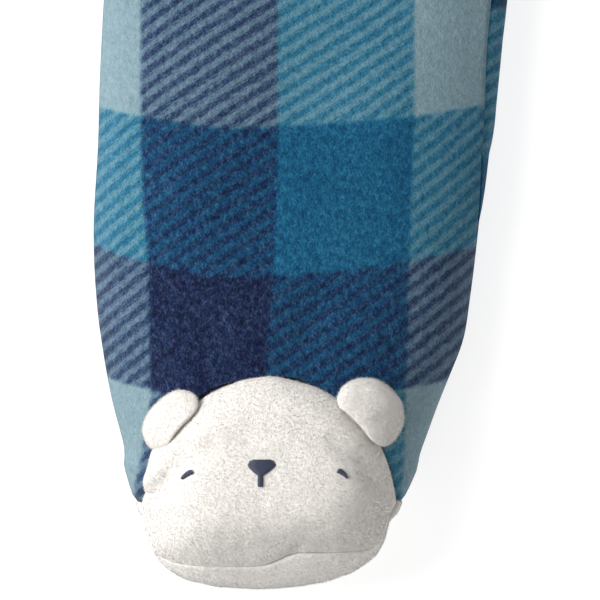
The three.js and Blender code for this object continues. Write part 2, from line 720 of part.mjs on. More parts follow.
// The neck binding: one folded strip from the zip, round both neck points and across the back neck.
function bindingGrid() {
  const half = [];
  for (let k = 0; k <= neckColumns; k++) {
    const q = neckline(Math.sin((Math.PI * k) / (2 * neckColumns)), frontNeckY, zipHalfGap);
    const z = k === neckColumns ? section("edge", q.y) + 1.2 : topHeight(q.x, q.y);
    half.push(vec(q.x, q.y, z));
  }
  for (let k = backNeckColumns; k >= 0; k--) {
    const q = neckline(Math.sin((Math.PI * k) / (2 * backNeckColumns)), backNeckY, 0);
    const z = k === backNeckColumns ? section("edge", q.y) - 1.2 : underHeight(q.x, q.y);
    half.push(vec(q.x, q.y, z));
  }
  half[0].x += 0.1;
  const other = half.slice(0, -1).map((p) => vec(-p.x, p.y, p.z)).reverse();
  const path = [...half, ...other];
  const lean = (p) => vec(-0.55 * (p.x / neckPoint.x) ** 3, 1, 0).normalize();
  return [0, 0.5, 1].map((share) =>
    path.map((p) => {
      const out = lean(p);
      return { p: p.clone().addScaledVector(out, seamGap + bindingWidth * share), n: null };
    }),
  );
}

// A bar of a given section swept along Y, its height following the cloth at the centre.
function sweptBar(profile, stations, heightAt) {
  const points = stations.flatMap((y) => profile.map(([x, z]) => vec(x, y, heightAt(y) + z)));
  const n = profile.length;
  const triangles = [];
  for (let s = 0; s + 1 < stations.length; s++) {
    for (const k of range(n)) {
      const a = s * n + k;
      const b = s * n + ((k + 1) % n);
      triangles.push([a, b, b + n], [a, b + n, a + n]);
    }
  }
  const cap = THREE.ShapeUtils.triangulateShape(profile.map(([x, z]) => new THREE.Vector2(x, z)), []);
  const last = (stations.length - 1) * n;
  for (const [a, b, c] of cap) triangles.push([a, c, b], [last + a, last + b, last + c]);
  return geometryOf(points, triangles);
}

const clothTop = (y) => topHeight(0, y);

function zipGeometry() {
  const low = -fleece - 0.4;
  const top = low + coilHeight;
  const profile = [
    [-tapeHalf, low - tapeWall],
    [tapeHalf, low - tapeWall],
    [tapeHalf, low],
    [coilHalf, low],
    [coilHalf, top],
    [-coilHalf, top],
    [-coilHalf, low],
    [-tapeHalf, low],
  ];
  const first = zipEndY + 1;
  const last = frontNeckY + bindingWidth - 1;
  const stations = [first, 60, 72, 100, 150, 200, 250, 300, 350, last];
  return sweptBar(profile, stations, clothTop);
}

// A block from an outline in Y and Z, with any holes, centred across X.
function sideBlock(outline, holes, wide) {
  const shape = new THREE.Shape(outline.map(([y, z]) => new THREE.Vector2(y, z)));
  shape.holes = holes.map((hole) => new THREE.Path(hole.map(([y, z]) => new THREE.Vector2(y, z))));
  const g = new THREE.ExtrudeGeometry(shape, { depth: wide, bevelEnabled: false });
  g.translate(0, 0, -wide / 2);
  g.applyMatrix4(new THREE.Matrix4().makeBasis(vec(0, 1, 0), vec(0, 0, 1), vec(1, 0, 0)));
  return g;
}

// The zip's slider body, a low wedge that rides on the coil.
function sliderGeometry() {
  const half = slider.long / 2;
  return sideBlock(
    [
      [-half, 0.6],
      [-half + 1, 0],
      [half - 1, 0],
      [half, 0.6],
      [half, slider.high - 1],
      [half - 1, slider.high],
      [-half + 1, slider.high],
      [-half, slider.high - 1],
    ],
    [],
    slider.wide,
  );
}

// The bridge over the slider, under which the pull's bar turns.
function bridgeGeometry() {
  const half = bridge.long / 2;
  const leg = (bridge.long - bridge.hole * 1.6) / 2;
  return sideBlock(
    [
      [-half, 0],
      [-half + leg, 0],
      [-half + leg, bridge.high - bridge.roof],
      [half - leg, bridge.high - bridge.roof],
      [half - leg, 0],
      [half, 0],
      [half, bridge.high - 0.8],
      [half - 0.8, bridge.high],
      [-half + 0.8, bridge.high],
      [-half, bridge.high - 0.8],
    ],
    [],
    bridge.wide,
  );
}

// The pull tab: a flat tongue with an eye, whose end bar passes under the bridge. The bar is its origin.
function pullGeometry() {
  const half = pull.wide / 2;
  const barHalf = pull.bar / 2;
  const outline = [
    [-half, barHalf],
    [-half, -pull.long + 2],
    [-half + 1.6, -pull.long],
    [half - 1.6, -pull.long],
    [half, -pull.long + 2],
    [half, barHalf],
  ];
  const eye = [
    [half - pull.arm, -barHalf],
    [half - pull.arm, -pull.eye],
    [-half + pull.arm, -pull.eye],
    [-half + pull.arm, -barHalf],
  ];
  const shape = new THREE.Shape(outline.map(([x, y]) => new THREE.Vector2(x, y)));
  shape.holes = [new THREE.Path(eye.map(([x, y]) => new THREE.Vector2(x, y)))];
  const g = new THREE.ExtrudeGeometry(shape, { depth: pull.thick, bevelEnabled: false });
  g.translate(0, 0, -pull.thick / 2);
  g.rotateX(THREE.MathUtils.degToRad(pull.droop));
  return g;
}

// The other half of the garment.
function mirrored(geometry) {
  const g = geometry.clone();
  const position = g.getAttribute("position");
  for (let i = 0; i < position.count; i++) position.setX(i, -position.getX(i));
  const index = g.getIndex().array;
  for (let i = 0; i < index.length; i += 3) [index[i + 1], index[i + 2]] = [index[i + 2], index[i + 1]];
  return g;
}

const material = (color, roughness, metalness = 0) =>
  new THREE.MeshStandardMaterial({ color, roughness, metalness });
const plaidFleece = material(0x2f6f93, 0.95);
const creamPlush = material(0xe9e4dc, 0.95);
const navyBinding = material(0x2a3758, 0.9);
const navyTape = material(0x27324f, 0.85);
const zipMetal = material(0x9aa1a8, 0.35, 0.9);

const garment = new THREE.Group();

function add(name, geometry, finish, place = [0, 0, 0]) {
  const mesh = new THREE.Mesh(geometry, finish);
  mesh.name = name;
  mesh.position.set(...place);
  garment.add(mesh);
}

function addPair(name, geometry, finish) {
  add(`${name}_left`, geometry, finish);
  add(`${name}_right`, mirrored(geometry), finish);
}

const fromSole = (p) => vec(p.x - soleCentre.x, p.y - soleCentre.y, p.z - 22);
const fromBackEdges = (p) => vec(0, 0, p.z > 9 ? 1 : -1).add(vec(p.x < 90 ? -0.3 : 0.3, 0, 0));
const fromNeck = (p) => vec(p.x * 0.2, 0, p.z - 9);

const [frontBody, frontLeg] = partedAtHip(frontGrid());
const [backBody, backLeg] = partedAtHip(backGrid());
addPair("front_body", wall(frontBody, fleece), plaidFleece);
addPair("front_leg", wall(frontLeg, fleece), plaidFleece);
addPair("back_body", wall(backBody, fleece, { outwards: fromBackEdges }), plaidFleece);
addPair("back_leg", wall(backLeg, fleece, { outwards: fromBackEdges }), plaidFleece);
addPair("sleeve", wall(sleeveGrid(), fleece, { ring: true }), plaidFleece);
addPair("foot_face", wall(faceGrid(), plush, { ring: true, cap: true }), creamPlush);
addPair("sole", wall(soleGrid(), plush, { ring: true, cap: true, outwards: fromSole }), creamPlush);
for (const shape of ears) addPair(`ear_${shape.name}`, earGeometry(shape), creamPlush);
add("neck_binding", wall(bindingGrid(), bindingWall, { outwards: fromNeck }), navyBinding);
add("zip", zipGeometry(), navyTape);

const sliderZ = clothTop(slider.y) + seamGap;
const bridgeZ = sliderZ + slider.high + seamGap;
const hingeZ = bridgeZ + (bridge.high - bridge.roof) / 2;
add("zip_slider", sliderGeometry(), zipMetal, [0, slider.y, sliderZ]);
add("zip_bridge", bridgeGeometry(), zipMetal, [0, slider.y, bridgeZ]);
add("zip_pull", pullGeometry(), zipMetal, [0, slider.y, hingeZ]);

// The box is centred over the origin, with the underside on it.
const box = new THREE.Box3().setFromObject(garment);
garment.position.y = -(box.min.y + box.max.y) / 2;

export default garment;
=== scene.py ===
import math

import bmesh
import bpy
import numpy as np
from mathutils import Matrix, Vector, noise
from mathutils.bvhtree import BVHTree


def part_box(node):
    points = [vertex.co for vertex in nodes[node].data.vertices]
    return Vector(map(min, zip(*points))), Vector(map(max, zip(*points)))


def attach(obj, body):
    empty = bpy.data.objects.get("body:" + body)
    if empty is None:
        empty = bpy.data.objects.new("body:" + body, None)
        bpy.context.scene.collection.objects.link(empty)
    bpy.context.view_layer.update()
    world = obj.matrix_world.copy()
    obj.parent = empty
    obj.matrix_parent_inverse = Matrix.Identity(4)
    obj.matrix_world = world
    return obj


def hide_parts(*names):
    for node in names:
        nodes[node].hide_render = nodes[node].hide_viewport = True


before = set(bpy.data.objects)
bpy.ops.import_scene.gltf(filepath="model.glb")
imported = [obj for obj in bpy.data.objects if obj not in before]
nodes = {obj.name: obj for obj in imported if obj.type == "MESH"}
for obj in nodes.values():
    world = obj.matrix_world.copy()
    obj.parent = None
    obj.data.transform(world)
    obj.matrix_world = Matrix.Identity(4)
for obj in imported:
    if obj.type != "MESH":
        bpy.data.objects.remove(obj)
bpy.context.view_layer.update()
scene = bpy.context.scene
mm = 0.001

# The photo shows the wearer's right leg from straight above, its pixels at a fixed scale on a level plane.
photo = {"scale": 0.37 * mm, "rightX": -25.0 * mm, "rightPixel": 505, "lowY": -335.0 * mm, "lowPixel": 500,
         "toeY": -368.3 * mm, "middle": 300}
view = {"distance": 1.3, "focusZ": 0.022, "pixels": 600, "reach": 0.12}
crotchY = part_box("sole_right")[0].y - photo["toeY"]


def onCloth(px, py):  # a pixel of the photo as a place on that plane
    x = photo["rightX"] - (photo["rightPixel"] - px) * photo["scale"]
    y = photo["lowY"] + (photo["lowPixel"] - py) * photo["scale"]
    return Vector((x, crotchY + y, view["focusZ"]))


cameraPlace = onCloth(photo["middle"], photo["middle"]) + Vector((0, 0, view["distance"]))


def pixelOf(p):  # where the photo would show a place; both legs count as the right one
    nearer = view["distance"] / (cameraPlace.z - p.z) - 1
    shifts = []
    for offset in (-abs(p.x) - cameraPlace.x, cameraPlace.y - p.y):
        limited = max(-view["reach"], min(view["reach"], offset))
        shifts.append((offset + limited * nearer) / photo["scale"])
    return photo["middle"] + shifts[0], photo["middle"] + shifts[1]


def nodeIn(tree, kind, **settings):
    node = tree.nodes.new(kind)
    for key, value in settings.items():
        if key in node.inputs:
            node.inputs[key].default_value = value
        else:
            setattr(node, key, value)
    return node


def fill(tree, sockets, values):  # each socket takes its value, or a wire from another node
    for socket, value in zip(sockets, values):
        if isinstance(value, bpy.types.NodeSocket):
            tree.links.new(value, socket)
        else:
            socket.default_value = value


def mathIn(tree, operation, *values):
    node = nodeIn(tree, "ShaderNodeMath", operation=operation)
    fill(tree, node.inputs, values)
    return node.outputs[0]


def vectorIn(tree, operation, *values):
    node = nodeIn(tree, "ShaderNodeVectorMath", operation=operation)
    fill(tree, node.inputs, values)
    return node.outputs[0]


def powerIn(tree, color, power):
    node = nodeIn(tree, "ShaderNodeGamma", Gamma=power)
    tree.links.new(color, node.inputs[0])
    return node.outputs[0]


def noiseIn(tree, place, **settings):
    node = nodeIn(tree, "ShaderNodeTexNoise", **settings)
    tree.links.new(place, node.inputs["Vector"])
    return node


def mixIn(tree, factor, first, second):
    node = nodeIn(tree, "ShaderNodeMix", data_type="RGBA")
    fill(tree, (node.inputs[0], node.inputs[6], node.inputs[7]), (factor, first, second))
    return node.outputs[2]


def groupWith(name, inputs, outputs, kind="ShaderNodeTree"):
    tree = bpy.data.node_groups.new(name, kind)
    for label, socketType, value in inputs:
        socket = tree.interface.new_socket(label, in_out="INPUT", socket_type=socketType)
        if value is not None:
            socket.default_value = value
    for label, socketType in outputs:
        tree.interface.new_socket(label, in_out="OUTPUT", socket_type=socketType)
    return tree, tree.nodes.new("NodeGroupInput"), tree.nodes.new("NodeGroupOutput")


def useGroup(tree, group, **values):
    node = tree.nodes.new("ShaderNodeGroup")
    node.node_tree = group
    fill(tree, [node.inputs[key] for key in values], values.values())
    return node


def softStep(tree, value, edge, width, low=0.0, high=1.0):
    step = nodeIn(tree, "ShaderNodeMapRange", interpolation_type="SMOOTHSTEP")
    fill(tree, step.inputs, (value, edge - width, edge + width, low, high))
    return step.outputs[0]


# Two colours mix at this power of their screen values, and the ribs move their shares between low and high.
blend = {"power": 0.5, "low": 0.29, "high": 0.74, "edge": 0.022, "ribEdge": 0.8, "sway": 0.9,
         "fuzz": (0.07, 0.07, 0.9)}
screenPower = 2.2
middleGrey = (0.5, 0.5, 0.5)


def makeCheckGroup():  # a check of three screen colours, with a twill blend where two of them cross
    tree, start, end = groupWith(
        "checkPattern",
        [("Cells", "NodeSocketVector", None), ("Navy", "NodeSocketColor", (0, 0, 0, 1)),
         ("Teal", "NodeSocketColor", (0, 0, 0, 1)), ("Pale", "NodeSocketColor", (0, 0, 0, 1))],
        [("Color", "NodeSocketColor")])
    links = tree.links
    dyes = {label: powerIn(tree, start.outputs[label], blend["power"]) for label in ("Navy", "Teal", "Pale")}
    place = start.outputs["Cells"]
    fuzz = noiseIn(tree, place, Scale=62.0, Detail=3.0, Roughness=0.65)
    sway = noiseIn(tree, place, Scale=14.0, Detail=2.0)
    centred = vectorIn(tree, "SUBTRACT", fuzz.outputs["Color"], middleGrey)
    cells = nodeIn(tree, "ShaderNodeSeparateXYZ")
    links.new(vectorIn(tree, "MULTIPLY_ADD", centred, blend["fuzz"], place), cells.inputs[0])
    banded = []
    for axis in ("X", "Y"):
        turn = mathIn(tree, "FLOORED_MODULO", cells.outputs[axis], len(dyes))
        tone = dyes["Pale"]
        for edge, label in enumerate(("Navy", "Teal", "Pale", "Navy")):
            tone = mixIn(tree, softStep(tree, turn, edge, blend["edge"]), tone, dyes[label])
        banded.append(tone)
    turns = mathIn(tree, "MULTIPLY_ADD", sway.outputs[0], blend["sway"], cells.outputs["Z"])
    wave = mathIn(tree, "SINE", mathIn(tree, "MULTIPLY", turns, 2 * math.pi))
    rib = softStep(tree, wave, 0, blend["ribEdge"], blend["low"], blend["high"])
    mixed = mixIn(tree, rib, banded[0], banded[1])
    links.new(powerIn(tree, mixed, screenPower / blend["power"]), end.inputs["Color"])
    return tree


# The nap's combed turn and stretch, the share of its fine grain, its speckle on dark and on light tones, how
# far single fibres differ in hue, and its darkest tone.
nap = {"turn": 0.55, "stretch": 0.66, "fine": 0.6, "fade": -1.75, "full": 1.5, "least": 0.35, "hue": 0.25,
       "darkest": 0.015}


def makeNapGroup():  # brushed pile: a speckled tone, and a height for bump
    tree, start, end = groupWith(
        "napPile",
        [("Color", "NodeSocketColor", (1, 1, 1, 1)), ("Grain", "NodeSocketFloat", 900.0),
         ("Tuft", "NodeSocketFloat", 160.0), ("Speckle", "NodeSocketFloat", 0.2),
         ("Cloud", "NodeSocketFloat", 0.1)],
        [("Color", "NodeSocketColor"), ("Height", "NodeSocketFloat")])
    links = tree.links
    place = nodeIn(tree, "ShaderNodeTexCoord")
    combed = nodeIn(tree, "ShaderNodeMapping")
    combed.inputs["Rotation"].default_value = (0, 0, nap["turn"])
    combed.inputs["Scale"].default_value = (1.0, nap["stretch"], 1.0)
    links.new(place.outputs["Object"], combed.inputs["Vector"])
    grain = noiseIn(tree, combed.outputs[0], Detail=4.0, Roughness=0.75)
    tuft = noiseIn(tree, combed.outputs[0], Detail=3.0, Roughness=0.6)
    cloud = noiseIn(tree, combed.outputs[0], Scale=28.0, Detail=2.0)
    links.new(start.outputs["Grain"], grain.inputs["Scale"])
    links.new(start.outputs["Tuft"], tuft.inputs["Scale"])
    mixed = mathIn(tree, "ADD", mathIn(tree, "MULTIPLY", grain.outputs[0], nap["fine"]),
                   mathIn(tree, "MULTIPLY", tuft.outputs[0], 1 - nap["fine"]))
    seen = powerIn(tree, start.outputs["Color"], 1 / screenPower)
    bright = nodeIn(tree, "ShaderNodeRGBToBW")
    links.new(seen, bright.inputs[0])
    faded = mathIn(tree, "MULTIPLY_ADD", bright.outputs[0], nap["fade"], nap["full"])
    weight = mathIn(tree, "MAXIMUM", faded, nap["least"])
    strength = mathIn(tree, "MULTIPLY", start.outputs["Speckle"], weight)
    speck = mathIn(tree, "MULTIPLY", mathIn(tree, "SUBTRACT", mixed, 0.5), strength)
    drift = mathIn(tree, "MULTIPLY", mathIn(tree, "SUBTRACT", cloud.outputs[0], 0.5), start.outputs["Cloud"])
    tint = vectorIn(tree, "SUBTRACT", grain.outputs["Color"], middleGrey)
    tinted = vectorIn(tree, "MULTIPLY", tint, mathIn(tree, "MULTIPLY", strength, nap["hue"]))
    offset = vectorIn(tree, "ADD", tinted, mathIn(tree, "ADD", speck, drift))
    held = vectorIn(tree, "MAXIMUM", vectorIn(tree, "ADD", seen, offset), (nap["darkest"],) * 3)
    links.new(powerIn(tree, held, screenPower), end.inputs["Color"])
    links.new(mixed, end.inputs["Height"])
    return tree


checkGroup = makeCheckGroup()
napGroup = makeNapGroup()


def material(name, **sockets):
    made = bpy.data.materials.new(name)
    made.use_nodes = True
    shader = made.node_tree.nodes["Principled BSDF"]
    for key, value in sockets.items():
        shader.inputs[key.replace("_", " ")].default_value = value
    return made, made.node_tree, shader


def addBump(tree, shader, height, strength, distance):
    bump = nodeIn(tree, "ShaderNodeBump", Strength=strength, Distance=distance)
    tree.links.new(height, bump.inputs["Height"])
    tree.links.new(bump.outputs[0], shader.inputs["Normal"])


def napped(name, sheen):
    return material(name, Roughness=0.95, Sheen_Weight=sheen, Sheen_Roughness=0.6, Specular_IOR_Level=0.15)


def brush(tree, shader, color, bump, deep, **settings):  # the nap over a colour
    brushed = useGroup(tree, napGroup, Color=color, **settings)
    tree.links.new(brushed.outputs["Color"], shader.inputs["Base Color"])
    addBump(tree, shader, brushed.outputs["Height"], bump, deep)


# The three colours are those of the screen. The check group makes light of them.
fleeceLook = {"navy": (0.090, 0.150, 0.268, 1), "teal": (0.075, 0.325, 0.452, 1),
              "pale": (0.478, 0.572, 0.607, 1), "sheen": 0.06, "bump": 0.7, "deep": 0.0012,
              "grain": 1500.0, "tuft": 560.0, "speckle": 0.8, "cloud": 0.06}


def makeFleece():
    made, tree, shader = napped("plaidFleece", fleeceLook["sheen"])
    cells = nodeIn(tree, "ShaderNodeAttribute", attribute_name="cells")
    check = useGroup(tree, checkGroup, Cells=cells.outputs["Vector"], Navy=fleeceLook["navy"],
                     Teal=fleeceLook["teal"], Pale=fleeceLook["pale"])
    brush(tree, shader, check.outputs[0], fleeceLook["bump"], fleeceLook["deep"], Grain=fleeceLook["grain"],
          Tuft=fleeceLook["tuft"], Speckle=fleeceLook["speckle"], Cloud=fleeceLook["cloud"])
    return made


def makeNapped(name, color, speckle, grain, bump, sheen, cloud):
    made, tree, shader = napped(name, sheen)
    brush(tree, shader, color, bump, 0.001, Grain=grain, Tuft=grain / 5, Speckle=speckle, Cloud=cloud)
    return made


cream = (0.89, 0.851, 0.80, 1)
plaidFleece = makeFleece()
creamPlush = makeNapped("creamPlush", cream, speckle=0.5, grain=900.0, bump=0.4, sheen=0.25, cloud=0.03)
bindingKnit = makeNapped("bindingKnit", (0.022, 0.036, 0.095, 1), speckle=0.5, grain=1400.0, bump=0.35,
                         sheen=0.08, cloud=0.04)
tapeWeave = makeNapped("tapeWeave", (0.020, 0.032, 0.085, 1), speckle=0.4, grain=2200.0, bump=0.3,
                       sheen=0.05, cloud=0.02)
threadSatin = material("threadSatin", Base_Color=(0.024, 0.032, 0.075, 1), Roughness=0.5, Sheen_Weight=0.3)[0]
seamThread = material("seamThread", Base_Color=(0.05, 0.10, 0.19, 1), Roughness=0.7)[0]
coilNylon = material("coilNylon", Base_Color=(0.03, 0.045, 0.1, 1), Roughness=0.4)[0]


def makePile():  # fibres that take most of their shading from the cloth they grow on, as a soft pile does
    made, tree, shader = material("creamPile", Base_Color=cream, Roughness=0.95, Sheen_Weight=0.25,
                                  Sheen_Roughness=0.6, Specular_IOR_Level=0.1)
    ownShare = (0.35, 0.35, 0.35)
    cloth = nodeIn(tree, "ShaderNodeAttribute", attribute_name="clothNormal")
    own = nodeIn(tree, "ShaderNodeNewGeometry")
    both = vectorIn(tree, "ADD", cloth.outputs["Vector"],
                    vectorIn(tree, "MULTIPLY", own.outputs["Normal"], ownShare))
    tree.links.new(vectorIn(tree, "NORMALIZE", both), shader.inputs["Normal"])
    return made


creamPile = makePile()
zipMetal = material("zipMetal", Base_Color=(0.62, 0.64, 0.67, 1), Roughness=0.28, Metallic=1.0)[0]
print("materials made")


def link(name, mesh, *materials):
    piece = bpy.data.objects.new(name, mesh)
    scene.collection.objects.link(piece)
    if materials:
        mesh.materials.clear()
        for look in materials:
            mesh.materials.append(look)
    return piece


def plainMesh(piece):
    graph = bpy.context.evaluated_depsgraph_get()
    return bpy.data.meshes.new_from_object(piece.evaluated_get(graph))


def keepOnly(piece, mesh):  # the piece with its modifiers made real
    piece.modifiers.clear()
    old = piece.data
    piece.data = mesh
    bpy.data.meshes.remove(old)
    return piece


# The frame's fronts and backs are parted at the hip, and each of them is one cloth here.
hip = {"y": crotchY + 0.020, "reach": 0.0010, "join": 0.0005}
smooth = {"weld": 0.000002, "flat": 0.6, "skew": 1.2}


def softened(parts, name, look, levels=2, crease=0.55, sharp=0.8):  # one smooth cloth from its CAD walls
    body = bmesh.new()
    for part in parts:
        body.from_mesh(nodes[part].data)
    if len(parts) > 1:
        rims = [f for f in body.faces if all(abs(v.co.y - hip["y"]) < hip["reach"] for v in f.verts)]
        bmesh.ops.delete(body, geom=rims, context="FACES")
        met = [v for v in body.verts if abs(v.co.y - hip["y"]) < hip["reach"]]
        bmesh.ops.remove_doubles(body, verts=met, dist=hip["join"])
    bmesh.ops.remove_doubles(body, verts=body.verts, dist=smooth["weld"])
    bmesh.ops.join_triangles(body, faces=body.faces, angle_face_threshold=smooth["flat"],
                             angle_shape_threshold=smooth["skew"])
    layer = body.edges.layers.float.get("crease_edge") or body.edges.layers.float.new("crease_edge")
    for edge in body.edges:
        if len(edge.link_faces) == 2 and edge.calc_face_angle(0) > sharp:
            edge[layer] = crease
    for face in body.faces:
        face.smooth = True
    mesh = bpy.data.meshes.new(name)
    body.to_mesh(mesh)
    body.free()
    piece = link(name, mesh, look)
    finer = piece.modifiers.new("finer", "SUBSURF")
    finer.levels = finer.render_levels = levels
    return keepOnly(piece, plainMesh(piece))


# Soft creases that the photo shows, as troughs between two pixels of it. Wide and deep are in millimetres, and
# a negative depth is a bulge.
creases = [
    {"x0": 330, "y0": 285, "x1": 297, "y1": 372, "wide": 8, "deep": 1.5},
    {"x0": 205, "y0": 330, "x1": 213, "y1": 388, "wide": 6, "deep": 1.1},
    {"x0": 455, "y0": 330, "x1": 400, "y1": 352, "wide": 6, "deep": 1.1},
    {"x0": 446, "y0": 372, "x1": 404, "y1": 380, "wide": 5, "deep": 0.9},
    {"x0": 110, "y0": 360, "x1": 150, "y1": 372, "wide": 6, "deep": 0.8},
    {"x0": 330, "y0": 60, "x1": 250, "y1": 190, "wide": 16, "deep": 1.0},
]
faceCreases = [
    {"x0": 158, "y0": 490, "x1": 184, "y1": 461, "wide": 4.0, "deep": 2.2},
    {"x0": 184, "y0": 461, "x1": 212, "y1": 446, "wide": 4.4, "deep": 1.5},
    {"x0": 212, "y0": 446, "x1": 240, "y1": 442, "wide": 5.0, "deep": 0.6},
    {"x0": 306, "y0": 426, "x1": 334, "y1": 438, "wide": 5.0, "deep": 0.8},
    {"x0": 334, "y0": 438, "x1": 362, "y1": 460, "wide": 4.6, "deep": 1.7},
    {"x0": 362, "y0": 460, "x1": 384, "y1": 496, "wide": 4.0, "deep": 2.0},
    {"x0": 205, "y0": 392, "x1": 235, "y1": 378, "wide": 3.0, "deep": -0.7},
    {"x0": 287, "y0": 560, "x1": 298, "y1": 549, "wide": 1.8, "deep": 0.5},
    {"x0": 144, "y0": 512, "x1": 149, "y1": 548, "wide": 5.0, "deep": -2.4},
    {"x0": 158, "y0": 448, "x1": 150, "y1": 478, "wide": 4.4, "deep": -2.2},
    {"x0": 250, "y0": 372, "x1": 272, "y1": 372, "wide": 7.0, "deep": -1.2},
]
legBulges = [
    {"x0": 130, "y0": 466, "x1": 140, "y1": 490, "wide": 4.5, "deep": -2.8},
    {"x0": 414, "y0": 470, "x1": 405, "y1": 490, "wide": 4.0, "deep": -1.4},
    {"x0": 505, "y0": -60, "x1": 495, "y1": 130, "wide": 6.0, "deep": -1.7},
]
solePuckers = [
    {"x0": 141, "y0": 502, "x1": 142, "y1": 510, "wide": 2.4, "deep": -1.8},
    {"x0": 396, "y0": 500, "x1": 394, "y1": 512, "wide": 2.4, "deep": -1.2},
]


def trough(rows, p):
    x, y = pixelOf(p)
    depth = 0.0
    for row in rows:
        dx, dy = row["x1"] - row["x0"], row["y1"] - row["y0"]
        long = math.hypot(dx, dy)
        along = ((x - row["x0"]) * dx + (y - row["y0"]) * dy) / long
        beyond = max(0.0, -along, along - long)
        across = ((x - row["x0"]) * dy - (y - row["y0"]) * dx) / long
        reach = row["wide"] * mm / photo["scale"]
        here = row["deep"] * mm * math.exp(-(across ** 2 + beyond ** 2) / reach ** 2)
        depth = here if abs(here) > abs(depth) else depth
    return depth


# How long each kind of ripple is and where its noise starts; how far each cloth ripples, in millimetres, as
# broad waves, fine ones and clumps of its pile; and what rests on the floor, where cloth hardly moves.
ripples = {"broad": (0.045, 0.3), "fine": (0.017, 7.1), "clump": (0.005, 3.7)}
loose = {"fleece": (0.7, 0.25, 0), "still": (0, 0, 0), "face": (0.5, 0.3, 0.3), "sole": (0.4, 0.3, 0.3),
         "ear": (0.2, 0.3, 0.3)}
resting = {"below": 0.004, "facing": 0.3, "share": 0.2}


def ripple(point, kind):
    size, seed = ripples[kind]
    return noise.noise(Vector((point.x, point.y, point.z * 0.5 + seed)) / size)


def relax(piece, rows, cloth="fleece", outside=lambda p, n: n.z > 0):
    mesh = piece.data
    broad, fine, clump = loose[cloth]
    normals = [v.normal.copy() for v in mesh.vertices]
    for vertex, normal in zip(mesh.vertices, normals):
        p = vertex.co
        lift = (ripple(p, "broad") * broad + ripple(p, "fine") * fine) * mm
        if outside(p, normal):
            lift += ripple(p, "clump") * clump * mm - trough(rows, p)
        if p.z < resting["below"] and normal.z < resting["facing"]:
            lift = min(lift, 0.0) * resting["share"]
        vertex.co = p + normal * lift
        vertex.co.z = max(vertex.co.z, 0.0)
    mesh.update()
    return piece


# Checks of the cloth as the photo shows them, in its pixels: the column edges with how far they lean in
# towards the ankle, and the row edges at the middle of the leg with how far they rise at its sides.
check = {"firstColumn": 141.0, "columnPitch": 136.5,
         "leanY": [120, 200, 245, 280, 337, 390, 450, 483],
         "lean": [[0, 2, 6, 8, 9, 11, 2, -6],
                  [0, -1, -3, -5, -10, -12, -12, -12],
                  [0, -3, -5, -6, -7, -9, -10, -12]],
         "rowY": [-1375, -146, -9, 128, 278, 402, 515, 630], "rowCell": [13, 4, 3, 2, 1, 0, -1, -2],
         "riseY": [-150, -9, 128, 278, 402], "rise": [0, 12, 24, 34, 28],
         "sagX": [97, 110, 122, 147, 172, 206, 248, 276, 332, 375, 408, 440, 478],
         "sag": [0, 0.17, 0.33, 0.53, 0.74, 0.95, 1, 0.95, 0.82, 0.66, 0.52, 0.3, 0],
         "backEdge": 157.0, "backPitch": 150.0, "backColumn": 2.0, "backRow": 2,
         "ribSlope": 0.62, "ribPitch": 16.0, "legMiddle": 285.0, "roundness": 4.3e-6, "roundTo": 200.0}
columns = range(-6, 10)

# The sleeve's turn, the place that its checks are counted from, and the part of a check that lies there.
sleeveCheck = {"turn": 0.872, "x": 0.14, "y": 0.35, "over": 0.3, "down": 0.6}


def ribPhase(px, py):  # the twill's ribs, steeper where the leg rounds away at its sides
    across = px - check["legMiddle"]
    rounded = check["roundness"] * max(-check["roundTo"], min(check["roundTo"], across)) ** 3
    return (-py - check["ribSlope"] * (across + rounded)) / check["ribPitch"]


def columnCell(px, py):
    edges = [check["firstColumn"] + check["columnPitch"] * k for k in columns]
    for k, lean in enumerate(check["lean"]):
        edges[k - columns.start] += float(np.interp(py, check["leanY"], lean))
    return float(np.interp(px, edges, columns))


def frontCell(p):
    px, py = pixelOf(p)
    level = 1 - float(np.interp(px, check["sagX"], check["sag"]))
    y = py + level * float(np.interp(py, check["riseY"], check["rise"]))
    return columnCell(px, py), float(np.interp(y, check["rowY"], check["rowCell"])), ribPhase(px, py)


def backCell(p):
    px, py = pixelOf(p)
    across = (px - check["firstColumn"]) / check["columnPitch"] + check["backColumn"]
    return across, check["backRow"] + (check["backEdge"] - py) / check["backPitch"], ribPhase(px, py)


def sleeveCell(p):
    side = 1 if p.x > 0 else -1
    turn = sleeveCheck["turn"]
    pitch = check["columnPitch"] * photo["scale"]
    x = side * p.x - sleeveCheck["x"]
    y = p.y - crotchY - sleeveCheck["y"]
    down = (x * math.cos(turn) - y * math.sin(turn)) / pitch
    over = (x * math.sin(turn) + y * math.cos(turn)) / pitch
    phase = (down + check["ribSlope"] * over) * check["columnPitch"] / check["ribPitch"]
    return side * (over + sleeveCheck["over"]), -down + sleeveCheck["down"], -phase


centreSeam = {"within": 1.4 * mm}


def closed(piece):  # the centre seams drawn shut
    for vertex in piece.data.vertices:
        if abs(vertex.co.x) < centreSeam["within"]:
            vertex.co.x = 0
    return piece


def mapCells(piece, cell):
    mesh = piece.data
    layer = mesh.attributes.new("cells", "FLOAT_VECTOR", "POINT")
    for vertex in mesh.vertices:
        layer.data[vertex.index].vector = cell(vertex.co)
    return piece


soleMiddle = Vector((0.112, crotchY - 0.322, 0.022))


def outOfSole(p, n):
    middle = Vector((math.copysign(soleMiddle.x, p.x), soleMiddle.y, soleMiddle.z))
    return n.dot(p - middle) > 0


head = {"x": 0.112, "y": crotchY - 0.336}
ears = {"outer": {"x": 0.1442, "y": crotchY - 0.308, "wider": 0.13, "nearer": 0.0013},
        "inner": {"x": 0.0788, "y": crotchY - 0.3054, "wider": 0.06, "nearer": 0.0004},
        "from": 0.055, "over": 0.010, "tuck": 0.0042, "rise": 0.0014}


